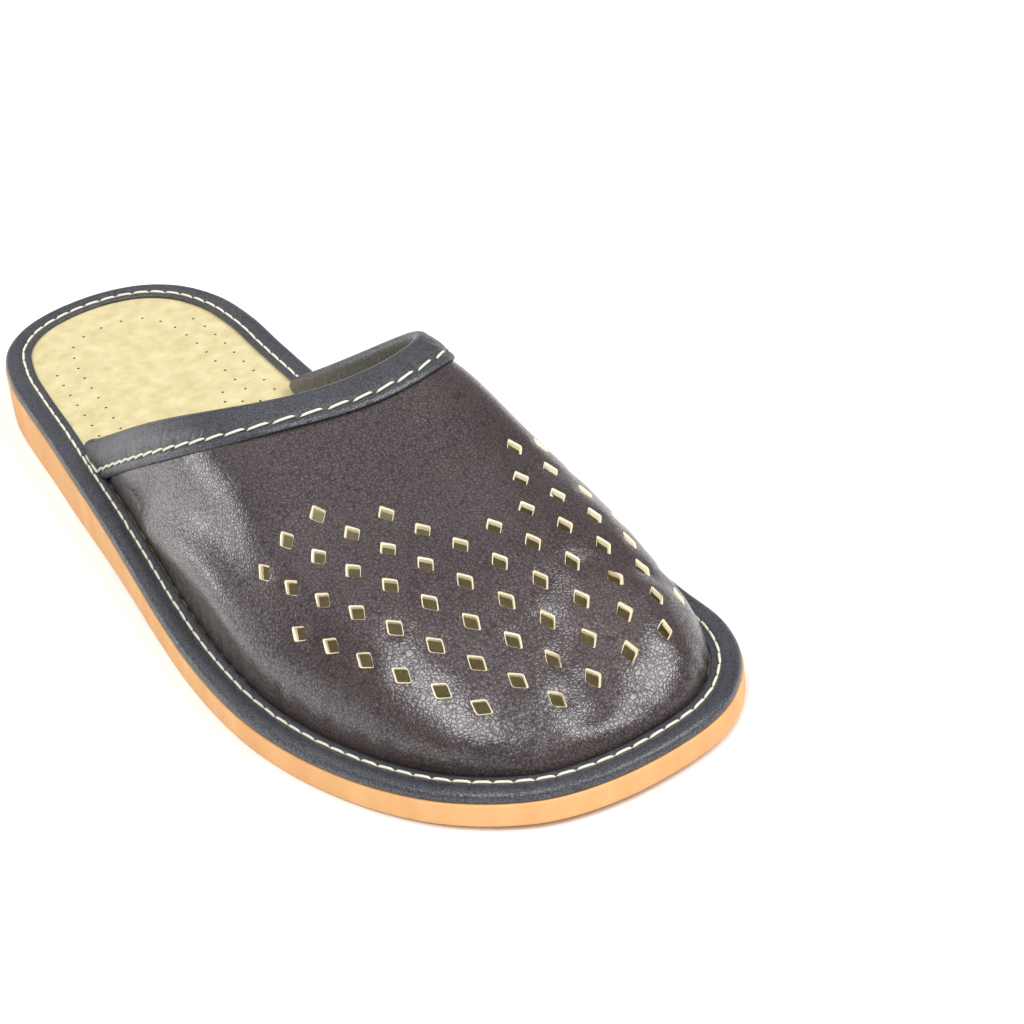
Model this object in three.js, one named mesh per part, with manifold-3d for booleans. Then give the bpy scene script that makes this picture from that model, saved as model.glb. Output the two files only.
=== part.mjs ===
// House slipper for the right foot: a backless leather mule on a foam wedge sole.
// Millimetres, +Z up, toe towards +X, the inner side of the foot towards +Y, floor at z = 0.
import * as THREE from 'three';
import { mergeVertices } from 'three/addons/utils/BufferGeometryUtils.js';
import Module from 'manifold-3d';

// Driving sizes
const length = 290;
const ballWidth = 114;
const gap = 0.3;
const heelThickness = 14;
const foreThickness = 6.5;
const toeSpring = 2;
const archLift = 0.8;
const soleEdgeRound = 0.6;
const boardThickness = 1.2;
const boardInset = 1.9;
const randWidth = 8;
const randOuterLeaf = 1.2;
const randTopLeaf = 0.8;
const randRoll = 1.25;
const randShoulder = 5.8;
const instepHeight = 53;
const wall = 2;
const bindingWidth = 9.5;
const bindingThickness = 1.1;
const bindingGap = 0.8;
const bindingFloorGap = 2.2;

// The sole's outline: a row per station, sides as shares of the ball width.
const heelPoint = { along: 0, side: 0.025 };
const toePoint = { along: 1, side: 0.039 };
const outlineRows = [
  { along: 0.005, outer: 0.081, inner: 0.120 },
  { along: 0.020, outer: 0.167, inner: 0.205 },
  { along: 0.050, outer: 0.242, inner: 0.278 },
  { along: 0.100, outer: 0.292, inner: 0.327 },
  { along: 0.160, outer: 0.320, inner: 0.338 },
  { along: 0.220, outer: 0.341, inner: 0.329 },
  { along: 0.300, outer: 0.372, inner: 0.322 },
  { along: 0.380, outer: 0.401, inner: 0.325 },
  { along: 0.460, outer: 0.433, inner: 0.344 },
  { along: 0.540, outer: 0.466, inner: 0.386 },
  { along: 0.620, outer: 0.492, inner: 0.440 },
  { along: 0.700, outer: 0.501, inner: 0.490 },
  { along: 0.760, outer: 0.488, inner: 0.501 },
  { along: 0.820, outer: 0.454, inner: 0.499 },
  { along: 0.880, outer: 0.396, inner: 0.492 },
  { along: 0.930, outer: 0.318, inner: 0.444 },
  { along: 0.970, outer: 0.212, inner: 0.351 },
  { along: 0.990, outer: 0.117, inner: 0.249 },
];

// Where the wedge thins from heel to forefoot and where the toe lifts, as shares of the length.
const wedgeMiddle = 0.45;
const wedgeSpread = 0.09;
const springStart = 0.72;
const archStart = 0.26;
const archEnd = 0.62;

// The upper's sections: crest height as a share of the instep height, how full the arch is
// (2 is an ellipse, more is boxier) and how far the crest leans inwards for its height.
const sectionRows = [
  { along: 0.293, height: 0.22, fullness: 2.82, lean: 0.28 },
  { along: 0.431, height: 0.94, fullness: 2.96, lean: 0.30 },
  { along: 0.586, height: 1.00, fullness: 3.08, lean: 0.30 },
  { along: 0.707, height: 0.84, fullness: 3.12, lean: 0.19 },
  { along: 0.810, height: 0.85, fullness: 2.85, lean: 0.08 },
  { along: 0.886, height: 0.72, fullness: 2.60, lean: 0.03 },
  { along: 0.972, height: 0.60, fullness: 2.24, lean: -0.02 },
];
const toeRoundness = 2.64;

// The collar's cut, seen from the side: a line that rises forwards from the rand, with its
// tilt to the inner side and its dip across the instep.
const collarStart = 0.323;
const collarFoot = 16;
const collarRise = 0.59;
const collarTilt = -0.078;
const collarDip = 0.0054;

// The perforations: staggered rows from the instep to the toe, with places counted outwards
// from the middle line, which lies to the inner side of the crest. The first row's place is a
// share of the length. The rows close up towards the toe and their places spread a little.
const holeRows = [
  { from: 3.5, to: 5.5 },
  { from: 2, to: 5 },
  { from: 1.5, to: 5.5 },
  { from: 0, to: 5 },
  { from: 0.5, to: 4.5 },
  { from: 0, to: 4 },
  { from: 0.5, to: 3.5 },
  { from: 0, to: 3 },
  { from: 0.5, to: 1.5 },
];
const holeStart = 0.673;
const holePitchAlong = 11;
const holeClosing = 0.1375;
const holePitchAcross = 10.57;
const holeWidening = 0.0126;
const holeMiddle = 6.3;
const holeTilt = 0.13;
const holeBow = 0.0019;
const holeLong = 5.7;
const holeWide = 4;

// How finely the curved faces are divided, and the steps of walks and probes over them.
const outlineSteps = 3;
const archSteps = 32;
const alongSteps = 27;
const bindingSteps = 40;
const walkStep = 1;
const stride = 0.1;
const probe = 0.01;
const normalReach = 0.4;
const tipMargin = 0.02;
const weld = 1e-4;
const halvings = Math.ceil(Math.log2(length / weld));

// A smooth curve through a table's column, with each row's slope taken from its neighbours.
function column(rows, name, along) {
  const last = rows.length - 1;
  const at = Math.min(Math.max(along, rows[0].along), rows[last].along);
  let i = 0;
  while (i < last - 1 && rows[i + 1].along < at) i += 1;
  const slope = (k) => {
    const a = rows[Math.max(k - 1, 0)];
    const b = rows[Math.min(k + 1, last)];
    return (b[name] - a[name]) / (b.along - a.along);
  };
  const span = rows[i + 1].along - rows[i].along;
  const t = (at - rows[i].along) / span;
  const near = (1 + 2 * t) * (1 - t) ** 2;
  const far = t * t * (3 - 2 * t);
  const bend = t * (1 - t) * span;
  return near * rows[i][name] + far * rows[i + 1][name]
    + bend * ((1 - t) * slope(i) - t * slope(i + 1));
}

const alongOf = (x) => x / length + 0.5;

// Height of the sole's underside: a shallow arch between heel and ball, and the toe spring.
function groundHeight(x) {
  const along = alongOf(x);
  const lift = Math.max(0, (along - springStart) / (1 - springStart));
  const waist = (along - archStart) / (archEnd - archStart);
  const arch = waist > 0 && waist < 1 ? Math.sin(Math.PI * waist) ** 2 : 0;
  return toeSpring * lift ** 2 + archLift * arch;
}

// Height of the sole's top: the wedge falls from heel to forefoot in one soft step.
function soleTop(x) {
  const along = alongOf(x);
  const lift = Math.max(0, (along - springStart) / (1 - springStart));
  const heelShare = 1 / (1 + Math.exp((along - wedgeMiddle) / wedgeSpread));
  return foreThickness + (heelThickness - foreThickness) * heelShare + toeSpring * lift ** 2;
}

// The sole's outline as a closed curve from the heel along the outer side and back.
function soleOutline() {
  const place = (along, side) => new THREE.Vector3((along - 0.5) * length, side * ballWidth, 0);
  const outer = outlineRows.map((row) => place(row.along, -row.outer));
  const inner = outlineRows.map((row) => place(row.along, row.inner)).reverse();
  const heel = place(heelPoint.along, heelPoint.side);
  const toe = place(toePoint.along, toePoint.side);
  return new THREE.CatmullRomCurve3([heel, ...outer, toe, ...inner], true);
}

const outlineCurve = soleOutline();
const ringCount = 2 * (outlineRows.length + 1) * outlineSteps;

// The outline moved inwards by a distance, as a ring of points with the heel first.
function insetRing(distance, count = ringCount) {
  const ring = [];
  for (let i = 0; i < count; i += 1) {
    const point = outlineCurve.getPoint(i / count);
    const before = outlineCurve.getPoint((i + count - 0.5) / count % 1);
    const after = outlineCurve.getPoint((i + 0.5) / count % 1);
    const along = after.sub(before).normalize();
    ring.push(new THREE.Vector2(point.x - along.y * distance, point.y + along.x * distance));
  }
  return ring;
}

// A mesh from vertices and triangles, with shared vertices and flat faces.
function solid(positions, triangles) {
  const geometry = new THREE.BufferGeometry();
  geometry.setAttribute('position', new THREE.Float32BufferAttribute(positions, 3));
  geometry.setIndex(triangles);
  return geometry;
}

function quad(triangles, a, b, c, d) {
  triangles.push(a, b, c, a, c, d);
}

// A slab inside the outline: rings from bottom to top, closed by rungs from side to side.
function slab(levels) {
  const positions = [];
  const triangles = [];
  for (const level of levels) {
    for (const p of insetRing(level.inset)) positions.push(p.x, p.y, level.height(p.x));
  }
  const n = ringCount;
  for (let k = 0; k < levels.length - 1; k += 1) {
    for (let i = 0; i < n; i += 1) {
      const j = (i + 1) % n;
      quad(triangles, k * n + i, k * n + j, (k + 1) * n + j, (k + 1) * n + i);
    }
  }
  const top = (levels.length - 1) * n;
  triangles.push(0, n - 1, 1, top, top + 1, top + n - 1);
  for (let i = 1; i < n / 2 - 1; i += 1) {
    quad(triangles, i, n - i, n - i - 1, i + 1);
    quad(triangles, top + i, top + i + 1, top + n - i - 1, top + n - i);
  }
  const toe = n / 2;
  triangles.push(toe - 1, toe + 1, toe, top + toe - 1, top + toe, top + toe + 1);
  return solid(positions, triangles);
}

function soleGeometry() {
  return slab([
    { inset: soleEdgeRound, height: groundHeight },
    { inset: 0, height: (x) => groundHeight(x) + soleEdgeRound },
    { inset: 0, height: (x) => soleTop(x) - soleEdgeRound / 2 },
    { inset: soleEdgeRound / 2, height: soleTop },
  ]);
}

const boardTop = (x) => soleTop(x) + gap + boardThickness;

function insoleGeometry() {
  return slab([
    { inset: boardInset, height: (x) => soleTop(x) + gap },
    { inset: boardInset, height: boardTop },
  ]);
}

// The rand: an angle section carried round the outline, down over the board's edge and
// rolled on top. Rows go round the section: inset from the sole's edge, height over the sole.
function randGeometry() {
  const leafUnder = 2 * gap + boardThickness;
  const leafTop = leafUnder + randTopLeaf;
  const inner = boardInset - gap;
  const outer = inner - randOuterLeaf;
  const section = [
    { inset: outer, up: gap },
    { inset: outer, up: leafUnder },
    { inset: outer + randOuterLeaf / 2, up: leafTop },
    { inset: inner + randRoll, up: leafTop + randTopLeaf / 2 },
    { inset: randShoulder, up: leafTop },
    { inset: randWidth, up: leafTop },
    { inset: randWidth, up: leafUnder },
    { inset: inner, up: leafUnder },
    { inset: inner, up: gap },
  ];
  const positions = [];
  const triangles = [];
  for (const row of section) {
    for (const p of insetRing(row.inset)) positions.push(p.x, p.y, soleTop(p.x) + row.up);
  }
  const n = ringCount;
  for (let k = 0; k < section.length; k += 1) {
    const next = (k + 1) % section.length;
    for (let i = 0; i < n; i += 1) {
      const j = (i + 1) % n;
      quad(triangles, k * n + i, k * n + j, next * n + j, next * n + i);
    }
  }
  return solid(positions, triangles);
}

// The two sides of the line that the upper stands on, as tables from heel to toe.
const footInset = randWidth + gap;
const footRing = insetRing(footInset, 4 * ringCount);
const toeIndex = footRing.reduce((best, p, i) => (p.x > footRing[best].x ? i : best), 0);
const footOuter = footRing.slice(0, toeIndex + 1).map((p) => ({ along: p.x, side: p.y }));
const footInner = footRing.slice(toeIndex).map((p) => ({ along: p.x, side: p.y })).reverse();
const footTip = footRing[toeIndex];
const footHeight = (x) => boardTop(x) + gap;

function sideAt(rows, x) {
  let low = 0;
  let high = rows.length - 1;
  while (high - low > 1) {
    const middle = (low + high) >> 1;
    if (rows[middle].along <= x) low = middle;
    else high = middle;
  }
  const span = rows[high].along - rows[low].along;
  const share = Math.min(Math.max((x - rows[low].along) / span, 0), 1);
  return rows[low].side + share * (rows[high].side - rows[low].side);
}

// A point of the upper's outer face. The angle runs over the arch from 0 at the outer side
// to half a turn at the inner side: side = cos^(2/f), height = sin^(2/f), f the fullness.
function upperPoint(angle, x) {
  const along = alongOf(x);
  const outer = sideAt(footOuter, x);
  const inner = sideAt(footInner, x);
  const power = 2 / column(sectionRows, 'fullness', along);
  const reach = Math.abs(Math.cos(angle)) ** power * Math.sign(Math.cos(angle));
  const rise = Math.abs(Math.sin(angle)) ** power;
  const start = (sectionRows[0].along - 0.5) * length;
  const run = Math.min(Math.max((x - start) / (footTip.x - start), 0), 1);
  const toe = Math.sqrt(1 - run ** toeRoundness);
  const height = instepHeight * column(sectionRows, 'height', along) * toe;
  const lean = column(sectionRows, 'lean', along) * height * toe * rise ** 2;
  const side = (outer + inner) / 2 - (inner - outer) / 2 * reach + lean;
  return new THREE.Vector3(x, side, footHeight(x) + height * rise);
}

// How far a point lies over the collar's cut.
function overCollar(point) {
  const forward = point.x - (collarStart - 0.5) * length;
  const cut = collarFoot + collarRise * forward + collarTilt * point.y
    + collarDip * point.y ** 2;
  return point.z - cut;
}

// The upper's outer face ends at the collar where it meets the cut. The search by halving runs
// from the upper's first section to its toe.
function collarX(angle) {
  let low = (sectionRows[0].along - 0.5) * length;
  let high = footTip.x;
  for (let i = 0; i < halvings; i += 1) {
    const middle = (low + high) / 2;
    if (overCollar(upperPoint(angle, middle)) > 0) low = middle;
    else high = middle;
  }
  return (low + high) / 2;
}

// The outward direction of the upper's face, from two short steps along it.
function upperNormal(angle, x) {
  const forward = Math.min(x + normalReach, footTip.x - tipMargin);
  const a = upperPoint(angle, forward).sub(upperPoint(angle, forward - 2 * normalReach));
  const b = upperPoint(Math.min(angle + probe, Math.PI), x)
    .sub(upperPoint(Math.max(angle - probe, 0), x));
  return a.cross(b).normalize();
}

// A point under the upper's face by a depth, kept at the foot's level on the rims.
function upperInside(angle, x, depth) {
  const point = upperPoint(angle, x);
  if (depth === 0) return point;
  const inside = point.addScaledVector(upperNormal(angle, x), -depth);
  inside.z = Math.max(inside.z, footHeight(inside.x));
  if (angle === 0 || angle === Math.PI) inside.z = footHeight(inside.x);
  return inside;
}

// The upper: an outer and an inner face over the same grid, joined round the rims, with the
// rows of the grid running from the collar to the toe's tip.
function upperGeometry() {
  const positions = [];
  const triangles = [];
  const columns = archSteps + 1;
  for (const depth of [0, wall]) {
    for (let j = 0; j < alongSteps; j += 1) {
      for (let i = 0; i <= archSteps; i += 1) {
        const angle = Math.PI * i / archSteps;
        const start = collarX(angle);
        const x = start + (footTip.x - start) * Math.sin(Math.PI / 2 * j / alongSteps);
        positions.push(...upperInside(angle, x, depth).toArray());
      }
    }
    positions.push(footTip.x - depth, footTip.y, footHeight(footTip.x));
  }
  const layer = columns * alongSteps + 1;
  const at = (j, i, k) => k * layer + (j < alongSteps ? j * columns + i : columns * alongSteps);
  for (let j = 0; j < alongSteps; j += 1) {
    for (let i = 0; i < archSteps; i += 1) {
      if (j < alongSteps - 1) {
        quad(triangles, at(j, i, 0), at(j + 1, i, 0), at(j + 1, i + 1, 0), at(j, i + 1, 0));
        quad(triangles, at(j, i, 1), at(j, i + 1, 1), at(j + 1, i + 1, 1), at(j + 1, i, 1));
      } else {
        triangles.push(at(j, i, 0), at(j + 1, i, 0), at(j, i + 1, 0));
        triangles.push(at(j, i, 1), at(j, i + 1, 1), at(j + 1, i, 1));
      }
    }
    quad(triangles, at(j, 0, 0), at(j, 0, 1), at(j + 1, 0, 1), at(j + 1, 0, 0));
    quad(triangles, at(j, archSteps, 0), at(j + 1, archSteps, 0), at(j + 1, archSteps, 1),
      at(j, archSteps, 1));
  }
  for (let i = 0; i < archSteps; i += 1) {
    quad(triangles, at(0, i, 0), at(0, i + 1, 0), at(0, i + 1, 1), at(0, i, 1));
  }
  return solid(positions, triangles);
}

// The angle at which the arch at x has run a distance from its crest.
function angleAcross(x, across) {
  const turn = probe * Math.sign(across);
  let angle = Math.PI / 2;
  let run = 0;
  let last = upperPoint(angle, x);
  while (run < Math.abs(across) && angle > probe && angle < Math.PI - probe) {
    angle += turn;
    const next = upperPoint(angle, x);
    run += next.distanceTo(last);
    last = next;
  }
  return angle;
}

// How far forward the crest has come after a distance along it from the first row.
function crestAfter(distance) {
  let x = (holeStart - 0.5) * length;
  let run = 0;
  let last = upperPoint(Math.PI / 2, x);
  while (run < distance && x < footTip.x - stride) {
    x += stride;
    const next = upperPoint(Math.PI / 2, x);
    run += next.distanceTo(last);
    last = next;
  }
  return x;
}

// One perforation's cutter: a diamond bar square to the upper's face, a wall longer than the
// wall it cuts on both sides.
function diamondBar(angle, x) {
  const shape = new THREE.Shape([
    new THREE.Vector2(holeLong / 2, 0),
    new THREE.Vector2(0, holeWide / 2),
    new THREE.Vector2(-holeLong / 2, 0),
    new THREE.Vector2(0, -holeWide / 2),
  ]);
  const bar = new THREE.ExtrudeGeometry(shape, { depth: 3 * wall, bevelEnabled: false });
  bar.translate(0, 0, -2 * wall);
  const out = upperNormal(angle, x);
  const forward = upperPoint(angle, x + 1).sub(upperPoint(angle, x));
  forward.addScaledVector(out, -forward.dot(out)).normalize();
  const side = out.clone().cross(forward);
  bar.applyMatrix4(new THREE.Matrix4().makeBasis(forward, side, out));
  return bar.translate(...upperPoint(angle, x).toArray());
}

// The perforations: staggered rows, alike on both sides of the upper's middle line.
function diamondBars() {
  const bars = [];
  holeRows.forEach((row, index) => {
    const crest = crestAfter(index * holePitchAlong - index ** 2 * holeClosing);
    const spread = 1 + (index - (holeRows.length - 1) / 2) * holeWidening;
    for (let place = row.from; place <= row.to; place += 1) {
      for (const side of place === 0 ? [1] : [1, -1]) {
        const across = side * place * holePitchAcross * spread;
        const x = crest - holeTilt * across - holeBow * across ** 2;
        bars.push(diamondBar(angleAcross(x, across + holeMiddle), x));
      }
    }
  });
  return bars;
}

// Round the binding's section: down from the upper's edge, out from the upper's face. Its
// outer line folds over the edge in a half circle and its inner line follows the wall.
function bindingSection() {
  const outFace = bindingGap + bindingThickness;
  const inFace = -wall - bindingGap;
  const middle = -wall / 2;
  const fold = outFace - middle;
  const bend = [0, 1, 2, 3, 4].map((k) => Math.PI * k / 4);
  const waists = [1, 2 / 3, 1 / 3].map((share) => share * bindingWidth);
  const outerLine = [
    ...waists.map((down) => ({ down, out: outFace })),
    ...bend.map((turn) => ({ down: -fold * Math.sin(turn), out: middle + fold * Math.cos(turn) })),
    ...waists.toReversed().map((down) => ({ down, out: inFace - bindingThickness })),
  ];
  const innerLine = [
    ...waists.map((down) => ({ down, out: bindingGap })),
    { down: 0, out: bindingGap },
    { down: -gap, out: bindingGap },
    { down: -gap, out: middle },
    { down: -gap, out: inFace },
    { down: 0, out: inFace },
    ...waists.toReversed().map((down) => ({ down, out: inFace })),
  ];
  return [...outerLine, ...innerLine.reverse()];
}

// How high a point of the upper stands over the line that it stands on.
const standing = (angle, x) => upperPoint(angle, x).z - footHeight(x);

// A short step over the upper's face, square to the collar's run and towards the toe.
function stepDown(here, edgeRun, distance) {
  const base = upperPoint(here.angle, here.x);
  const over = upperPoint(here.angle + probe, here.x).sub(base).divideScalar(probe);
  const ahead = upperPoint(here.angle, here.x + probe).sub(base).divideScalar(probe);
  const way = edgeRun.clone().cross(upperNormal(here.angle, here.x)).normalize();
  const oo = over.dot(over);
  const aa = ahead.dot(ahead);
  const oa = over.dot(ahead);
  const det = oo * aa - oa * oa;
  const turnBy = (aa * over.dot(way) - oa * ahead.dot(way)) / det;
  const aheadBy = (oo * ahead.dot(way) - oa * over.dot(way)) / det;
  const next = { angle: here.angle + turnBy * distance, x: here.x + aheadBy * distance };
  const towardsCrest = here.angle < Math.PI / 2 ? probe / 4 : -probe / 4;
  next.angle = Math.min(Math.max(next.angle, probe), Math.PI - probe);
  while (standing(next.angle, next.x) < bindingFloorGap
    && Math.abs(next.angle - Math.PI / 2) > probe) next.angle += towardsCrest;
  return next;
}

// The collar's binding: a strip folded over the upper's top edge. Each column of its grid
// walks over the face from the collar, square to the edge, and stays clear of the rand.
function bindingColumn(angle) {
  const section = bindingSection();
  const start = collarX(angle);
  const edge = upperPoint(angle, start);
  const edgeRun = upperPoint(angle + probe, collarX(angle + probe))
    .sub(upperPoint(angle - probe, collarX(angle - probe))).normalize();
  const points = [];
  for (const row of section) {
    let here = { angle, x: start };
    let run = Math.max(row.down, 0);
    while (run > 0) {
      here = stepDown(here, edgeRun, Math.min(walkStep, run));
      run -= walkStep;
    }
    const out = upperNormal(here.angle, here.x);
    const point = upperPoint(here.angle, here.x).addScaledVector(out, row.out);
    if (row.down < 0) point.addScaledVector(out.clone().cross(edgeRun), -row.down);
    points.push(point);
  }
  return points;
}

function bindingGeometry() {
  let low = 2 * probe;
  while (standing(low, collarX(low)) < bindingFloorGap && low < Math.PI / 2) low += probe;
  let high = Math.PI - 2 * probe;
  while (standing(high, collarX(high)) < bindingFloorGap && high > Math.PI / 2) high -= probe;
  const positions = [];
  const triangles = [];
  const round = bindingSection().length;
  for (let i = 0; i <= bindingSteps; i += 1) {
    const angle = low + (high - low) * i / bindingSteps;
    for (const point of bindingColumn(angle)) positions.push(...point.toArray());
  }
  for (let i = 0; i < bindingSteps; i += 1) {
    for (let k = 0; k < round; k += 1) {
      const next = (k + 1) % round;
      quad(triangles, i * round + k, (i + 1) * round + k, (i + 1) * round + next,
        i * round + next);
    }
  }
  const last = bindingSteps * round;
  for (let k = 0; k < round / 2 - 1; k += 1) {
    const facing = round - 1 - k;
    quad(triangles, k, k + 1, facing - 1, facing);
    quad(triangles, last + k, last + facing, last + facing - 1, last + k + 1);
  }
  return solid(positions, triangles);
}

const wasm = await Module();
wasm.setup();

function toManifold(geometry) {
  geometry.deleteAttribute('normal');
  geometry.deleteAttribute('uv');
  const merged = mergeVertices(geometry, weld);
  return new wasm.Manifold(new wasm.Mesh({
    numProp: 3,
    vertProperties: merged.attributes.position.array,
    triVerts: new Uint32Array(merged.index.array),
  }));
}

// Cuts each bar through the body.
function cutAway(geometry, bars) {
  let body = toManifold(geometry);
  for (const bar of bars) body = body.subtract(toManifold(bar));
  const mesh = body.getMesh();
  return solid(mesh.vertProperties, Array.from(mesh.triVerts));
}

function piece(name, geometry, color, roughness) {
  const material = new THREE.MeshStandardMaterial({ color, roughness, metalness: 0 });
  geometry.computeVertexNormals();
  const mesh = new THREE.Mesh(geometry, material);
  mesh.name = name;
  return mesh;
}

const slipper = new THREE.Group();
slipper.add(piece('sole', soleGeometry(), 0xf0b97a, 0.85));
slipper.add(piece('insole', insoleGeometry(), 0xe0cd97, 0.9));
slipper.add(piece('rand', randGeometry(), 0x3a3a44, 0.5));
slipper.add(piece('upper', cutAway(upperGeometry(), diamondBars()), 0x3b2a2c, 0.42));
slipper.add(piece('collar_binding', bindingGeometry(), 0x45444e, 0.5));

export default slipper;
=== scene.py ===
import math
import bpy
import numpy as np
from mathutils import Matrix, Vector


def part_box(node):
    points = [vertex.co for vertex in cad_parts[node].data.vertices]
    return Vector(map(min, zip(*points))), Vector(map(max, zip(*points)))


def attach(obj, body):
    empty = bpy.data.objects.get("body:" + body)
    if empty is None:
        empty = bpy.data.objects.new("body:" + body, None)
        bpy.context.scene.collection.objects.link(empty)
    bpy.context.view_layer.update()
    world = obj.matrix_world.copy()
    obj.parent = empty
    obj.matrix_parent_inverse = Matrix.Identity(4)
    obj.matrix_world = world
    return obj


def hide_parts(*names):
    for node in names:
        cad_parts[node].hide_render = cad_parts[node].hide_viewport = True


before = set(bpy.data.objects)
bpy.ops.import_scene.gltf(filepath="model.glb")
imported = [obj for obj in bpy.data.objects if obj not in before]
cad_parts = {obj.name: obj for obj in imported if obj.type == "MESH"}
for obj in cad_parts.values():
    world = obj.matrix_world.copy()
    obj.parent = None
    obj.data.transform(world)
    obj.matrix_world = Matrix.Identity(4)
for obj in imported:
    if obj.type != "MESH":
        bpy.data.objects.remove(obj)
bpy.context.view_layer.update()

metre = 0.001  # sizes below are millimetres, and meshes are metres
rng = np.random.default_rng(7)
print("frame loaded")

# The slipper's own sizes, shared by every piece
soleLow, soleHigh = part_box("sole")
shoe = {
    "length": (soleHigh[0] - soleLow[0]) / metre,
    "ballWidth": 114.0,
    "heelThickness": 14.0,
    "foreThickness": 6.5,
    "toeSpring": 2.0,
    "archLift": 0.8,
    "archStart": 0.26,    # shares of the length
    "archSpan": 0.36,
    "wedgeMiddle": 0.45,
    "wedgeSpread": 0.09,
    "flatEnd": 0.72,
    "gap": 0.3,
    "board": 1.2,
    "boardInset": 1.9,
    "randWidth": 8.0,
    "instepHeight": 53.0,
    "leather": 1.5,
    "toeRoundness": 2.64,
}

# Rows along the shoe: share of the length, outer and inner side as shares of the ball width
outlineRows = np.array([
    (0.005, 0.081, 0.120), (0.020, 0.167, 0.205), (0.050, 0.242, 0.278),
    (0.100, 0.292, 0.327), (0.160, 0.320, 0.338), (0.220, 0.341, 0.329),
    (0.300, 0.372, 0.322), (0.380, 0.401, 0.325), (0.460, 0.433, 0.344),
    (0.540, 0.466, 0.386), (0.620, 0.492, 0.440), (0.700, 0.501, 0.490),
    (0.760, 0.488, 0.501), (0.820, 0.454, 0.499), (0.880, 0.396, 0.492),
    (0.930, 0.318, 0.444), (0.970, 0.212, 0.351), (0.990, 0.117, 0.249),
])
heelSide, toeSide = 0.025, 0.039

# Sections of the upper: share of the length, height, fullness, lean
sectionRows = np.array([
    (0.293, 0.22, 2.82, 0.28), (0.431, 0.94, 2.96, 0.30), (0.586, 1.00, 3.08, 0.30),
    (0.707, 0.84, 3.12, 0.19), (0.810, 0.85, 2.85, 0.08), (0.886, 0.72, 2.60, 0.03),
    (0.972, 0.60, 2.24, -0.02),
])
# The collar's cut: height = foot + rise * forward + tilt * side + dip * side squared
collar = {"start": 0.323, "foot": 16.0, "rise": 0.59, "tilt": -0.078, "dip": 0.0054,
          "searchFrom": -0.28, "searchTo": 0.3, "halvings": 40}


def alongOf(x):
    # share of the length, 0 at the heel and 1 at the toe
    return x / shoe["length"] + 0.5


def column(rows, index, along):
    # smooth curve through a table's column: Hermite pieces with slopes from the neighbours
    xs, ys = rows[:, 0], rows[:, index]
    slope = np.empty_like(ys)
    slope[1:-1] = (ys[2:] - ys[:-2]) / (xs[2:] - xs[:-2])
    slope[0] = (ys[1] - ys[0]) / (xs[1] - xs[0])
    slope[-1] = (ys[-1] - ys[-2]) / (xs[-1] - xs[-2])
    at = np.clip(along, xs[0], xs[-1])
    i = np.clip(np.searchsorted(xs, at) - 1, 0, len(xs) - 2)
    span = xs[i + 1] - xs[i]
    t = (at - xs[i]) / span
    ends = (1 + 2 * t) * (1 - t) ** 2 * ys[i] + t * t * (3 - 2 * t) * ys[i + 1]
    return ends + t * (1 - t) * span * ((1 - t) * slope[i] - t * slope[i + 1])


def bump01(t):
    # a soft hill: sin squared between 0 and 1, flat outside
    return np.where((t > 0) & (t < 1), np.sin(np.pi * np.clip(t, 0, 1)) ** 2, 0.0)


def toeLift(along):
    # square-law rise from the end of the forefoot's flat to the toe
    lift = np.maximum(0, (along - shoe["flatEnd"]) / (1 - shoe["flatEnd"]))
    return shoe["toeSpring"] * lift ** 2


def groundHeight(x):
    # shallow arch between heel and ball, plus the lift under the toe
    along = alongOf(x)
    return toeLift(along) + shoe["archLift"] * bump01((along - shoe["archStart"])
                                                      / shoe["archSpan"])


def soleTop(x):
    # the wedge falls from heel to forefoot in one logistic step and lifts at the toe
    along = alongOf(x)
    heelShare = 1 / (1 + np.exp((along - shoe["wedgeMiddle"]) / shoe["wedgeSpread"]))
    drop = shoe["heelThickness"] - shoe["foreThickness"]
    return shoe["foreThickness"] + drop * heelShare + toeLift(along)


def footbedTop(x):
    # the sole's top plus the gap and the board
    return soleTop(x) + shoe["gap"] + shoe["board"]


def outlinePoints():
    # the table's points as one closed loop: heel, outer side, toe, inner side
    x = (outlineRows[:, 0] - 0.5) * shoe["length"]
    outer = np.c_[x, -outlineRows[:, 1] * shoe["ballWidth"]]
    inner = np.c_[x, outlineRows[:, 2] * shoe["ballWidth"]]
    heel = [[-shoe["length"] / 2, heelSide * shoe["ballWidth"]]]
    toe = [[shoe["length"] / 2, toeSide * shoe["ballWidth"]]]
    return np.vstack([heel, outer, toe, inner[::-1]])


def closedCurve(points, t):
    # centripetal Catmull-Rom through the loop: cubic pieces with root-distance knots
    n = len(points)
    place = np.mod(t, 1.0) * n
    i = np.floor(place).astype(int)
    f = (place - i)[..., None]
    p0, p1, p2, p3 = (points[(i + k) % n] for k in (-1, 0, 1, 2))
    d0, d1, d2 = (np.sqrt(np.linalg.norm(b - a, axis=-1))[..., None]
                  for a, b in ((p0, p1), (p1, p2), (p2, p3)))
    m1 = ((p1 - p0) / d0 - (p2 - p0) / (d0 + d1) + (p2 - p1) / d1) * d1
    m2 = ((p2 - p1) / d1 - (p3 - p1) / (d1 + d2) + (p3 - p2) / d2) * d1
    return p1 + m1 * f + (3 * (p2 - p1) - 2 * m1 - m2) * f ** 2 + (2 * (p1 - p2) + m1 + m2) * f ** 3


loop = outlinePoints()


def insetRing(inset, t):
    # the outline moved inwards, square to itself, by a distance
    step = 1e-3
    along = closedCurve(loop, t + step) - closedCurve(loop, t - step)
    along /= np.linalg.norm(along, axis=-1, keepdims=True)
    inwards = np.stack([-along[..., 1], along[..., 0]], -1)
    return closedCurve(loop, t) + inwards * np.asarray(inset)[..., None]


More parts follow.
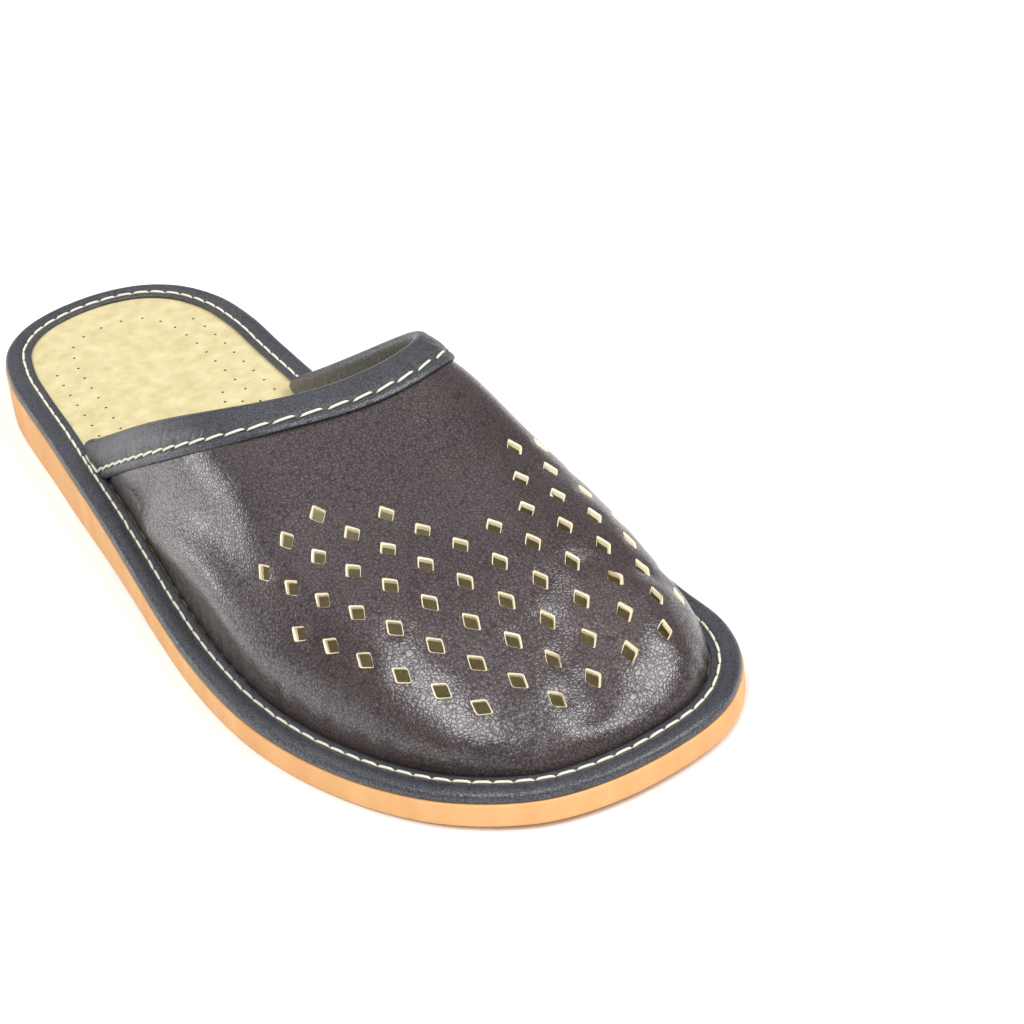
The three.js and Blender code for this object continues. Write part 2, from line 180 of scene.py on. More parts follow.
footT = np.linspace(0, 1, 4000, endpoint=False)
footRing = insetRing(shoe["randWidth"] + shoe["gap"], footT)
tipIndex = int(footRing[:, 0].argmax())
footTip = footRing[tipIndex]
footOuter = footRing[:tipIndex + 1]
footInner = footRing[tipIndex:][::-1]


def footHeight(x):
    # where the vamp's lower edge stands: one gap above the footbed
    return footbedTop(x) + shoe["gap"]


def upperShape(angle, x):
    # half-turn arch at x: side = cos^(2/fullness), height = sin^(2/fullness), leaning inwards
    along = alongOf(x)
    outer = np.interp(x, footOuter[:, 0], footOuter[:, 1])
    inner = np.interp(x, footInner[:, 0], footInner[:, 1])
    power = 2 / column(sectionRows, 2, along)
    reach = np.abs(np.cos(angle)) ** power * np.sign(np.cos(angle))
    rise = np.abs(np.sin(angle)) ** power
    start = (sectionRows[0, 0] - 0.5) * shoe["length"]
    run = np.clip((x - start) / (footTip[0] - start), 0, 1)
    toe = np.sqrt(1 - run ** shoe["toeRoundness"])
    height = shoe["instepHeight"] * column(sectionRows, 1, along) * toe
    lean = column(sectionRows, 3, along) * height * toe * rise ** 2
    side = (outer + inner) / 2 - (inner - outer) / 2 * reach + lean
    return np.stack([x + 0 * angle, side, footHeight(x) + height * rise], -1)


def collarX(angle):
    # where the arch at each angle meets the collar's cut, by halving
    low = np.full_like(angle, collar["searchFrom"] * shoe["length"])
    high = np.full_like(angle, collar["searchTo"] * shoe["length"])
    for _ in range(collar["halvings"]):
        middle = (low + high) / 2
        p = upperShape(angle, middle)
        forward = p[..., 0] - (collar["start"] - 0.5) * shoe["length"]
        cut = collar["foot"] + collar["rise"] * forward + collar["tilt"] * p[..., 1]
        over = p[..., 2] - cut - collar["dip"] * p[..., 1] ** 2
        low = np.where(over > 0, middle, low)
        high = np.where(over > 0, high, middle)
    return (low + high) / 2


def unit(v):
    # each vector over its own length
    return v / np.maximum(np.linalg.norm(v, axis=-1, keepdims=True), 1e-12)


def arcTable(points, closed=False):
    # running length along a line: the sum of the steps so far
    ends = np.vstack([points, points[:1]]) if closed else points
    return np.r_[0, np.cumsum(np.linalg.norm(np.diff(ends, axis=0), axis=1))]


normalStep, normalTurn, tipMargin = 0.4, 0.01, 0.02


def upperNormal(angle, x):
    # outward direction of the arch: cross product of two short steps over it
    ahead = np.minimum(x + normalStep, footTip[0] - tipMargin)
    a = upperShape(angle, ahead) - upperShape(angle, ahead - 2 * normalStep)
    b = (upperShape(np.minimum(angle + normalTurn, np.pi), x)
         - upperShape(np.maximum(angle - normalTurn, 0), x))
    return unit(np.cross(a, b))


def gridFaces(rows, columns, wrapRows=False, wrapColumns=False, flip=False, first=0):
    # quads between neighbouring points of a rows by columns grid
    r = np.arange(rows if wrapRows else rows - 1)[:, None]
    c = np.arange(columns if wrapColumns else columns - 1)[None, :]
    r1, c1 = (r + 1) % rows, (c + 1) % columns
    corners = [r * columns + c, r * columns + c1, r1 * columns + c1, r1 * columns + c]
    if flip:
        corners = corners[::-1]
    return np.stack(corners, -1).reshape(-1, 4) + first


def newPiece(name, points, faces, uv=None, materials=(), sharp=40):
    # a mesh object in metres from points in millimetres and a list of faces
    mesh = bpy.data.meshes.new(name)
    mesh.from_pydata((np.asarray(points) * metre).tolist(), [], faces)
    mesh.validate()
    if uv is not None:
        layer = mesh.uv_layers.new(name="strip")
        corner = np.empty(len(mesh.loops), dtype=np.int32)
        mesh.loops.foreach_get("vertex_index", corner)
        layer.data.foreach_set("uv", np.ascontiguousarray(np.asarray(uv)[corner] * metre).ravel())
    mesh.polygons.foreach_set("use_smooth", np.ones(len(mesh.polygons), dtype=bool))
    mesh.update()
    if sharp:
        mesh.set_sharp_from_angle(angle=math.radians(sharp))
    for item in materials:
        mesh.materials.append(item)
    piece = bpy.data.objects.new(name, mesh)
    bpy.context.scene.collection.objects.link(piece)
    return piece


def paint(piece, slots):
    # a material slot for each face
    piece.data.polygons.foreach_set("material_index", np.asarray(slots, dtype=np.int32))


def carve(piece, cutter):
    # cuts one closed mesh out of another and keeps the result as plain mesh data
    tool = piece.modifiers.new("cut", "BOOLEAN")
    tool.operation = "DIFFERENCE"
    tool.solver = "MANIFOLD"
    tool.object = cutter
    shape = piece.evaluated_get(bpy.context.evaluated_depsgraph_get())
    cut = bpy.data.meshes.new_from_object(shape)
    piece.modifiers.clear()
    old = piece.data
    cut.name = old.name
    piece.data = cut
    bpy.data.meshes.remove(old)
    bpy.data.objects.remove(cutter)


# Materials

def startMaterial(name, roughness):
    # a new material with its node tree and its main shader
    material = bpy.data.materials.new(name)
    material.use_nodes = True
    tree = material.node_tree
    shader = tree.nodes["Principled BSDF"]
    shader.inputs["Roughness"].default_value = roughness
    return material, tree, shader


def addNode(tree, kind, inputs=None, **settings):
    # a node whose inputs are constants, or links where the value is another node's output
    node = tree.nodes.new(kind)
    for key, value in settings.items():
        setattr(node, key, value)
    for key, value in (inputs or {}).items():
        if hasattr(value, "is_output"):
            tree.links.new(value, node.inputs[key])
        else:
            node.inputs[key].default_value = value
    return node


def spread(tree, source, stops):
    # a colour ramp from (place, colour) pairs
    node = addNode(tree, "ShaderNodeValToRGB", {"Fac": source})
    ramp = node.color_ramp
    while len(ramp.elements) < len(stops):
        ramp.elements.new(0.5)
    for element, (place, shade) in zip(ramp.elements, stops):
        element.position = place
        element.color = (*shade, 1)
    return node.outputs["Color"]


def grey(value):
    # one value as a colour
    return (value, value, value)


def raised(tree, height, strength, distance, under=None):
    # relief from a height pattern, on top of another relief where one is given
    inputs = {"Height": height, "Strength": strength, "Distance": distance}
    if under is not None:
        inputs["Normal"] = under
    return addNode(tree, "ShaderNodeBump", inputs).outputs["Normal"]


leatherPattern = {
    "coatRoughness": 0.22, "wanderScale": 300, "wander": 0.003, "toneScale": 30,
    "cloudScale": 75, "pleatScale": 900, "pleatStretch": 0.16,
}
brownLeather = {
    "dark": (0.042, 0.027, 0.028), "worn": (0.062, 0.043, 0.044), "roughness": 0.30,
    "specular": 0.8, "coat": 0.9, "grain": 1000.0, "creases": 420.0,
    "grainDepth": 0.00012, "wrinkle": 0.0,
}
navyLeather = {
    "dark": (0.034, 0.036, 0.047), "worn": (0.056, 0.058, 0.070), "roughness": 0.40,
    "specular": 1.0, "coat": 0.2, "grain": 1300.0, "creases": 700.0,
    "grainDepth": 0.0001, "wrinkle": 0.00025,
}


def leatherMaterial(name, dark, worn, roughness, specular, coat, grain, creases, grainDepth,
                    wrinkle):
    # pebbled leather: fine Voronoi cells, and a net of longer creases where noise allows it, with
    # painted shade darkening the colour in the valleys and along the creases;
    # strips carried round a path also get fine wrinkles across, laid out on their own UV
    material, tree, shader = startMaterial(name, roughness)
    shader.inputs["Coat Roughness"].default_value = leatherPattern["coatRoughness"]
    where = addNode(tree, "ShaderNodeTexCoord").outputs["Object"]
    wander = addNode(tree, "ShaderNodeTexNoise", {
        "Vector": where, "Scale": leatherPattern["wanderScale"], "Detail": 3})
    bent = addNode(tree, "ShaderNodeMixRGB", {
        "Fac": leatherPattern["wander"], "Color1": where,
        "Color2": wander.outputs["Color"]}).outputs["Color"]
    pebbles = addNode(tree, "ShaderNodeTexVoronoi", {"Vector": bent, "Scale": grain},
                      feature="DISTANCE_TO_EDGE")
    net = addNode(tree, "ShaderNodeTexVoronoi", {"Vector": bent, "Scale": creases},
                  feature="DISTANCE_TO_EDGE")
    broad = addNode(tree, "ShaderNodeTexNoise", {
        "Vector": where, "Scale": leatherPattern["toneScale"], "Detail": 3})
    cloud = addNode(tree, "ShaderNodeTexNoise", {
        "Vector": where, "Scale": leatherPattern["cloudScale"], "Detail": 2})
    tone = spread(tree, broad.outputs["Fac"], [(0.35, dark), (0.7, worn)])
    shine = spread(tree, cloud.outputs["Fac"], [(0.3, grey(roughness - 0.04)),
                                                (0.7, grey(roughness + 0.06))])
    tree.links.new(shine, shader.inputs["Roughness"])
    soft = spread(tree, pebbles.outputs["Distance"], [(0.0, grey(0)), (0.35, grey(1))])
    lines = spread(tree, net.outputs["Distance"], [(0.0, grey(0)), (0.12, grey(1))])
    share = spread(tree, cloud.outputs["Fac"], [(0.42, grey(0)), (0.62, grey(1))])
    cut = addNode(tree, "ShaderNodeMixRGB", {"Fac": share, "Color1": (1, 1, 1, 1),
                                             "Color2": lines}).outputs["Color"]
    # painted shade in the pebble valleys: the base colour falls to 0.65 at the cell edges
    paintedValleyShade = spread(tree, pebbles.outputs["Distance"], [(0.0, grey(0.65)), (0.16, grey(1))])
    valleyShadedTone = addNode(tree, "ShaderNodeMixRGB", {"Fac": 1.0, "Color1": tone, "Color2": paintedValleyShade},
                   blend_type="MULTIPLY").outputs["Color"]
    # painted shade along the crease net: the colour falls to 0.6 where the creases show
    paintedCreaseShade = spread(tree, cut, [(0.0, grey(0.6)), (0.6, grey(1))])
    creaseShadedTone = addNode(tree, "ShaderNodeMixRGB", {"Fac": 1.0, "Color1": valleyShadedTone, "Color2": paintedCreaseShade},
                     blend_type="MULTIPLY").outputs["Color"]
    tree.links.new(creaseShadedTone, shader.inputs["Base Color"])
    # painted shade in the reflection: specular level and coat weight drop in the pebble valleys,
    # standing in for occlusion there
    valleyShadedSpecular = spread(tree, pebbles.outputs["Distance"], [(0.0, grey(0.3 * specular)),
                                                       (0.2, grey(specular))])
    tree.links.new(valleyShadedSpecular, shader.inputs["Specular IOR Level"])
    valleyShadedCoat = spread(tree, pebbles.outputs["Distance"], [(0.0, grey(0.1 * coat)),
                                                      (0.25, grey(coat))])
    tree.links.new(valleyShadedCoat, shader.inputs["Coat Weight"])
    normal = raised(tree, soft, 0.3, grainDepth)
    normal = raised(tree, cut, 0.4, grainDepth * 1.3, normal)
    tree.links.new(raised(tree, soft, 0.2, grainDepth), shader.inputs["Coat Normal"])
    if wrinkle:
        strip = addNode(tree, "ShaderNodeUVMap", uv_map="strip").outputs["UV"]
        pressed = addNode(tree, "ShaderNodeMapping", {
            "Vector": strip, "Scale": (1, leatherPattern["pleatStretch"], 1)})
        pleats = addNode(tree, "ShaderNodeTexNoise", {
            "Vector": pressed.outputs["Vector"], "Scale": leatherPattern["pleatScale"],
            "Detail": 3})
        normal = raised(tree, pleats.outputs["Fac"], 0.6, wrinkle, normal)
    tree.links.new(normal, shader.inputs["Normal"])
    return material


def plainMaterial(name, low, high, roughness, scale, depth, stretch=(1, 1, 1), blotch=0.12):
    # a matt finish with two tones and a fine relief, both from stretched noise
    material, tree, shader = startMaterial(name, roughness)
    where = addNode(tree, "ShaderNodeTexCoord").outputs["Object"]
    turned = addNode(tree, "ShaderNodeMapping", {"Vector": where, "Scale": stretch})
    tone = addNode(tree, "ShaderNodeTexNoise", {"Vector": turned.outputs["Vector"],
                                                "Scale": scale * blotch, "Detail": 5})
    fine = addNode(tree, "ShaderNodeTexNoise", {"Vector": turned.outputs["Vector"],
                                                "Scale": scale, "Detail": 4})
    tree.links.new(spread(tree, tone.outputs["Fac"], [(0.3, low), (0.7, high)]),
                   shader.inputs["Base Color"])
    tree.links.new(raised(tree, fine.outputs["Fac"], 0.5, depth), shader.inputs["Normal"])
    return material


vampLeather = leatherMaterial("vampLeather", **brownLeather)
bindingLeather = leatherMaterial("bindingLeather", **navyLeather)
cutEdge = plainMaterial("cutEdge", (0.86, 0.76, 0.52), (0.95, 0.88, 0.68), 0.7, 900, 0.0001)
lining = plainMaterial("lining", (0.50, 0.42, 0.25), (0.60, 0.51, 0.32), 0.85, 900, 0.0001)
footbedSkin = plainMaterial("footbedSkin", (0.54, 0.455, 0.235), (0.68, 0.585, 0.335), 0.7, 800,
                            0.0002, blotch=0.3)
# dark brown painted shade for the walls and floors of the pinholes
pinholePaintedShade = plainMaterial("pinholePaintedShade", (0.10, 0.065, 0.03), (0.16, 0.11, 0.05), 0.8, 900, 0.0001)
foam = plainMaterial("foam", (0.71, 0.365, 0.14), (0.80, 0.45, 0.19), 0.75, 900, 0.0003,
                     (1, 1, 0.2))
thread = plainMaterial("thread", (0.74, 0.70, 0.56), (0.84, 0.80, 0.66), 0.6, 3000, 0.0001)
footbedMaterials = [footbedSkin, pinholePaintedShade]
vampMaterials = [vampLeather, lining, cutEdge, bindingLeather]
print("materials made")


# Slabs: sole and footbed

def slab(name, levels, ringCount, acrossCount, materials, topShape=None, sharp=40):
    # rings of the inset outline stacked from bottom to top; both caps are grids of rungs
    # from the outer to the inner side, so their height follows the length alone
    t = np.linspace(0, 1, ringCount, endpoint=False)
    stack = []
    for inset, height in levels:
        ring = insetRing(np.full(ringCount, inset), t)
        stack.append(np.c_[ring, height(ring[:, 0])])
    points = [np.vstack(stack)]
    faces = gridFaces(len(levels), ringCount, wrapColumns=True).tolist()
    half = ringCount // 2
    total = len(levels) * ringCount
    share = np.linspace(0, 1, acrossCount + 1)[1:-1]
    for level, up in ((0, False), (len(levels) - 1, True)):
        ring, base = stack[level], level * ringCount
        left, right = ring[1:half], ring[ringCount - 1:half:-1]
        inside = left[:, None] + (right - left)[:, None] * share[None, :, None]
        if up and topShape:
            inside[..., 2] += topShape(share)
        points.append(inside.reshape(-1, 3))
        index = total + np.arange(inside.shape[0] * inside.shape[1]).reshape(inside.shape[:2])
        total += index.size
        rungs = np.hstack([base + np.arange(1, half)[:, None], index,
                           base + np.arange(ringCount - 1, half, -1)[:, None]])
        quads = np.stack([rungs[:-1, :-1], rungs[1:, :-1], rungs[1:, 1:], rungs[:-1, 1:]], -1)
        quads = quads.reshape(-1, 4)
        heelFan = np.stack([np.full(acrossCount, base), rungs[0, :-1], rungs[0, 1:]], -1)
        toeFan = np.stack([np.full(acrossCount, base + half), rungs[-1, 1:], rungs[-1, :-1]], -1)
        for part in (quads, heelFan, toeFan):
            faces += (part if up else part[:, ::-1]).tolist()
    return newPiece(name, np.vstack(points), faces, materials=materials, sharp=sharp)


soleForm = {"edgeRound": 0.8, "topRound": 0.5, "roundSteps": 5, "ring": 456, "across": 40}


def makeSole():
    # quarter rounds at the lower and upper edges, and an even wall between them
    r, s = soleForm["edgeRound"], soleForm["topRound"]
    turn = np.linspace(0, np.pi / 2, soleForm["roundSteps"])
    levels = [(r * (1 - math.sin(a)), lambda x, a=a: groundHeight(x) + r * (1 - math.cos(a)))
              for a in turn]
    for share in (0.25, 0.5, 0.75):
        levels.append((0.0, lambda x, k=share: groundHeight(x) + r
                       + k * (soleTop(x) - s - groundHeight(x) - r)))
    levels += [(s * (1 - math.cos(a)), lambda x, a=a: soleTop(x) - s * (1 - math.sin(a)))
               for a in turn]
    piece = slab("soleFoam", levels, soleForm["ring"], soleForm["across"], [foam])
    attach(piece, "root")
    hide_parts("sole")


makeSole()
print("sole made")

footbed = {
    "ring": 456, "across": 60, "crown": 0.25, "edge": 0.2, "sharp": 38,
    "pinRadius": 0.45, "pinTaper": 0.8, "pinSides": 8, "pinDepth": 0.9, "pinClear": 0.4,
    "pinPitch": 6.4, "innerRow": 20.0, "innerEnd": -62.0,
    "outerRow": 13.5, "outerStart": -112.0, "outerEnd": -50.0,
    "branch": [(-68, 11), (-63, 9), (-60, 13), (-57, 17)],
}


def pinCutter(centres):
    # one round peg for each pinhole, narrower below
    sides = footbed["pinSides"]
    turn = np.arange(sides) * 2 * np.pi / sides
    rim = np.c_[np.cos(turn), np.sin(turn)] * footbed["pinRadius"]
    points, faces = [], []
    for number, (x, y) in enumerate(centres):
        z = float(footbedTop(np.array(x))) + footbed["crown"] + footbed["pinClear"]
        foot = z - footbed["pinDepth"] - footbed["pinClear"]
        first, last = number * 2 * sides, (number + 1) * 2 * sides
        points += [np.c_[rim + (x, y), np.full(sides, z)],
                   np.c_[rim * footbed["pinTaper"] + (x, y), np.full(sides, foot)]]
        faces += gridFaces(2, sides, wrapColumns=True, flip=True, first=first).tolist()
        faces += [list(range(first, first + sides)), list(range(last - 1, first + sides - 1, -1))]
    cutter = newPiece("pins", np.vstack(points), faces, materials=footbedMaterials, sharp=0)
    # every peg face carries the dark material, so the cut leaves painted shade inside each pinhole
    paint(cutter, np.full(len(faces), footbedMaterials.index(pinholePaintedShade)))
    return cutter


def pinRow(inset, toX, fromX=None):
    # places at an even pitch along a line inside the heel's outline; a row that starts part
    # of the way along has one run on each side
    t = np.linspace(-0.5, 0.5, 4001)
    line = insetRing(np.full(len(t), inset), t)
    keep = line[:, 0] < toX
    runs = [line[keep]]
    if fromX is not None:
        keep &= line[:, 0] > fromX
        runs = [line[keep & (t < 0)], line[keep & (t >= 0)]]
    places = []
    for run in runs:
        length = arcTable(run)
        at = np.arange(footbed["pinPitch"] / 2, length[-1], footbed["pinPitch"])
        places.append(np.c_[np.interp(at, length, run[:, 0]), np.interp(at, length, run[:, 1])])
    return np.vstack(places)


def makeFootbed():
    # a board with a small bevel and a half-sine crown across, then the pinholes
    edge = footbed["edge"]
    levels = [
        (shoe["boardInset"], lambda x: soleTop(x) + shoe["gap"]),
        (shoe["boardInset"], lambda x: footbedTop(x) - edge),
        (shoe["boardInset"] + edge, footbedTop),
    ]
    piece = slab("footbedCover", levels, footbed["ring"], footbed["across"], footbedMaterials,
                 topShape=lambda share: footbed["crown"] * np.sin(np.pi * share))
    centres = np.vstack([
        pinRow(footbed["innerRow"], footbed["innerEnd"]),
        pinRow(footbed["outerRow"], footbed["outerEnd"], footbed["outerStart"]),
        footbed["branch"],
    ])
    carve(piece, pinCutter(centres))
    piece.data.set_sharp_from_angle(angle=math.radians(footbed["sharp"]))
    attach(piece, "root")
    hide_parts("insole")


makeFootbed()
print("footbed made")


# Strips carried round a path, and their stitches

def smoothLoop(rows, count):
    # closed Catmull-Rom through a section's rows
    return closedCurve(np.array(rows, dtype=float), np.linspace(0, 1, count, endpoint=False))


rand = {
    "ring": 1100, "around": 44, "stitchInset": 5.8, "stitchPitch": 5.0, "stitchHeight": 2.5,
    "groove": 0.28, "grooveWidth": 0.9, "grooveShare": 0.35, "wobble": 0.03,
    "section": [(0.40, 0.30), (0.36, 1.10), (0.55, 1.90), (1.10, 2.55), (2.10, 2.95),
                (3.40, 3.00), (4.70, 2.80), (5.80, 2.50), (6.70, 2.62), (7.55, 2.62),
                (7.98, 2.45), (7.98, 1.90), (7.60, 1.80), (4.50, 1.80), (1.80, 1.80),
                (1.60, 1.60), (1.60, 0.40), (1.40, 0.30)],
}


def randStations():
    # equal steps round the outline, and how far each lies along the stitch line
    t = np.linspace(0, 1, 8001)
    line = insetRing(np.full(len(t), rand["stitchInset"]), t)
    run = arcTable(line)
    steps = np.linspace(0, run[-1], rand["ring"], endpoint=False)
    return np.interp(steps, run, t), steps, run, t


def makeRand():
    # the section carried round the outline; a bell-shaped groove runs under the stitches and
    # is deepest where the needle went in
    t, steps, run, _ = randStations()
    section = smoothLoop(rand["section"], rand["around"])
    inset, up = section[:, 0], section[:, 1]
    count = round(run[-1] / rand["stitchPitch"])
    phase = steps / run[-1] * count
    pull = 0.5 + 0.5 * np.cos(2 * np.pi * phase)
    near = np.exp(-((inset - rand["stitchInset"]) / rand["grooveWidth"]) ** 2) * (up > 2.0)
    least = rand["grooveShare"]
    drop = rand["groove"] * near[None, :] * (least + (1 - least) * pull[:, None])
    grid = insetRing(inset[None, :] + 0 * t[:, None], t[:, None] + 0 * inset[None, :])
    z = soleTop(grid[..., 0]) + up[None, :] - drop
    points = np.dstack([grid, z]).reshape(-1, 3)
    across = arcTable(section, True)[:-1]
    uv = np.dstack([steps[:, None] + 0 * across, across + 0 * steps[:, None]]).reshape(-1, 2)
    faces = gridFaces(len(t), len(section), wrapRows=True, wrapColumns=True).tolist()
    piece = newPiece("randBinding", points, faces, uv, [bindingLeather], sharp=0)
    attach(piece, "root")
    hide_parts("rand")
    return count


stitch = {"radius": 0.37, "rings": 8, "sides": 6, "share": 0.97, "taper": 0.7, "lift": 0.24,
          "sink": 0.32}


def stitchRow(name, centres, along, out, pitch, slant=0.0):
    # one bead of thread per stitch: a tube that thins by the eighth power of the distance
    # from its middle and dips by the fourth
    rings, sides = stitch["rings"], stitch["sides"]
    s = np.linspace(-1, 1, rings)
    half = pitch * stitch["share"] / 2
    side = unit(np.cross(out, along))
    forward = unit(along + side * slant)
    side = unit(np.cross(out, forward))
    thick = stitch["radius"] * (1 - stitch["taper"] * np.abs(s) ** 8)
    rise = stitch["lift"] - stitch["sink"] * np.abs(s) ** 4
    turn = np.arange(sides) * 2 * np.pi / sides
    spine = (centres[:, None] + forward[:, None] * (s * half)[None, :, None]
             + out[:, None] * rise[None, :, None])
    ring = (side[:, None, None] * np.cos(turn)[None, None, :, None]
            + out[:, None, None] * np.sin(turn)[None, None, :, None])
    points = spine[:, :, None] + ring * thick[None, :, None, None]
    faces = []
    for number in range(len(centres)):
        first = number * rings * sides
        faces += gridFaces(rings, sides, wrapColumns=True, flip=True, first=first).tolist()
        faces.append(list(range(first, first + sides)))
        last = first + (rings - 1) * sides
        faces.append(list(range(last + sides - 1, last - 1, -1)))
    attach(newPiece(name, points.reshape(-1, 3), faces, materials=[thread], sharp=0), "root")


def makeRandStitches(count):
    # stitches at even steps round the seam line, each turned a little by chance
    _, _, run, t = randStations()
    at = (np.arange(count) + 0.5) / count * run[-1]
    place = np.interp(at, run, t)
    flat = insetRing(np.full(count, rand["stitchInset"]), place)
    ahead = insetRing(np.full(count, rand["stitchInset"]), place + 1e-4)
    seat = rand["stitchHeight"] - rand["grooveShare"] * rand["groove"]
    centre = np.c_[flat, soleTop(flat[:, 0]) + seat]
    along = unit(np.c_[ahead, soleTop(ahead[:, 0]) + seat] - centre)
    out = np.tile([0.0, 0.0, 1.0], (count, 1))
    wobble = rng.normal(0, rand["wobble"], count)
    side = unit(np.cross(out, along))
    along = unit(along + side * wobble[:, None])
    stitchRow("randStitches", centre, along, out, run[-1] / count)


makeRandStitches(makeRand())
print("rand made")


# The vamp: shell, folds and perforations

vamp = {
    "across": 220, "along": 190, "sharp": 38, "facingRows": 32, "dip": 0.18, "dipWidth": 3.2,
    "puckers": 9, "puckerHeight": 0.06, "puckerBand": 4.0, "footFade": 8.0,
    # each row of holes: its first and last place from the middle, in pitches
    "rows": [(3.5, 5.5), (2, 5), (1.5, 5.5), (0, 5), (0.5, 4.5), (0, 4), (0.5, 3.5), (0, 3),
             (0.5, 1.5)],
    "start": 0.673, "pitchAlong": 11.0, "closing": 0.1375, "pitchAcross": 10.57,
    "widening": 0.0126, "middle": 6.3, "tilt": 0.13, "bow": 0.0019,
    "holeLong": 5.7, "holeWide": 4.0, "rimBevel": 0.35, "bevelDepth": 0.35, "cutDepth": 5.0,
    "cutClear": 3.0, "clip": 0.16, "clipRound": 0.45, "flareLong": 1.3,
    "footCrowding": 1.45, "toeCrowding": 0.65,
}

# Soft ridges and troughs of the worn leather: along and across (arc from the crest), length,
# width, turn in degrees, height
foldRows = [
    (4, -74, 60, 6.0, 12, 1.9),      # the outer shoulder's long ridge
    (22, -58, 75, 7.5, 12, -1.3),    # trough between it and the top
    (28, -40, 60, 8.0, 12, 0.5),     # low swelling above the trough
    (112, -36, 20, 14, 20, 0.8),     # swelling over the small toes
    (121, 0, 15, 6.0, -28, -1.6),    # trough beside the great toe
    (116, 23, 12, 9.0, -20, 2.6),    # swelling over the great toe
    (103, 16, 9, 5.0, -60, -0.9),    # dent behind it
]


def crestAfter(distance):
    # how far forward the crest has come after a walk along it from the first row
    x = np.linspace((vamp["start"] - 0.5) * shoe["length"], footTip[0] - 1, 2000)
    crest = upperShape(np.full_like(x, np.pi / 2), x)
    return np.interp(distance, arcTable(crest), x)


def angleAcross(x, across):
    # the angle at which the arch at x has run a distance from its crest
    angle = np.linspace(0.02, np.pi - 0.02, 900)
    arch = upperShape(angle, np.full_like(angle, x))
    run = arcTable(arch)
    middle = np.interp(np.pi / 2, angle, run)
    return np.interp(middle + across, run, angle)


def holePlaces():
    # staggered rows, alike on both sides of the middle line
    places = []
    for index, (first, last) in enumerate(vamp["rows"]):
        crest = crestAfter(index * vamp["pitchAlong"] - index ** 2 * vamp["closing"])
        wide = 1 + vamp["widening"] * (index - 4)
        for place in np.arange(first, last + 0.1):
            for side in ((1,) if place == 0 else (1, -1)):
                across = side * place * vamp["pitchAcross"] * wide
                x = crest - vamp["tilt"] * across - vamp["bow"] * across ** 2
                places.append((angleAcross(x, across + vamp["middle"]), x))
    return np.array(places)


def acrossCrest(angle, x):
    # arc run from the crest to each place, over the arch that stands at its own x
    turns = np.linspace(0.001, np.pi - 0.001, 361)
    places = np.linspace(x.min(), footTip[0] - 0.01, 160)
    arch = upperShape(turns[None, :] + 0 * places[:, None], places[:, None] + 0 * turns[None, :])
    run = np.concatenate([np.zeros((len(places), 1)),
                          np.cumsum(np.linalg.norm(np.diff(arch, axis=1), axis=-1), axis=1)], 1)
    run -= run[:, [len(turns) // 2]]
    row = np.clip(np.interp(x, places, np.arange(len(places))), 0, len(places) - 1.001)
    col = np.clip(np.interp(angle, turns, np.arange(len(turns))), 0, len(turns) - 1.001)
    r, c = row.astype(int), col.astype(int)
    fr, fc = row - r, col - c
    low = run[r, c] * (1 - fc) + run[r, c + 1] * fc
    high = run[r + 1, c] * (1 - fc) + run[r + 1, c + 1] * fc
    return low * (1 - fr) + high * fr


def foldHeight(points, angle, x):
    # sum of the table's hills: each falls as a bell across and flatter than a bell along;
    # all die out towards the seam at the rand
    across = acrossCrest(angle, x)
    total = np.zeros(x.shape)
    for along, side, length, width, turn, height in foldRows:
        c, s = math.cos(math.radians(turn)), math.sin(math.radians(turn))
        u = (x - along) * c + (across - side) * s
        v = (across - side) * c - (x - along) * s
        total += height * np.exp(-(u / length) ** 4 - (v / width) ** 2)
    clear = points[..., 2] - footHeight(points[..., 0])
    return total * np.clip(clear / vamp["footFade"], 0, 1) ** 1.5


def shellDisplace(points, normals, holes, angle, x):
    # folds, a dip round each perforation, and small puckers near the seam at the rand
    dip = np.zeros(points.shape[:2])
    for centre in holes:
        away = np.linalg.norm(points - centre, axis=-1)
        dip += np.exp(-(away / vamp["dipWidth"]) ** 4)
    clear = points[..., 2] - footHeight(points[..., 0])
    pucker = np.zeros(points.shape[:2])
    for _ in range(vamp["puckers"]):
        turn, wave, shift = rng.uniform(-1, 1), rng.uniform(4, 9), rng.uniform(0, 6.28)
        way = points[..., 0] * math.cos(turn) + points[..., 1] * math.sin(turn)
        pucker += vamp["puckerHeight"] * np.sin(2 * np.pi * way / wave + shift)
    pucker *= np.exp(-((clear - vamp["puckerBand"]) / vamp["puckerBand"]) ** 2)
    rise = foldHeight(points, angle, x) - vamp["dip"] * np.minimum(dip, 1) + pucker
    return points + normals * rise[..., None]


def archAngles(count):
    # angles that crowd towards both feet of the arch, where it rises fastest
    s = np.linspace(-1, 1, count)
    return np.pi / 2 * (1 + np.sign(s) * (1 - (1 - np.abs(s)) ** vamp["footCrowding"]))


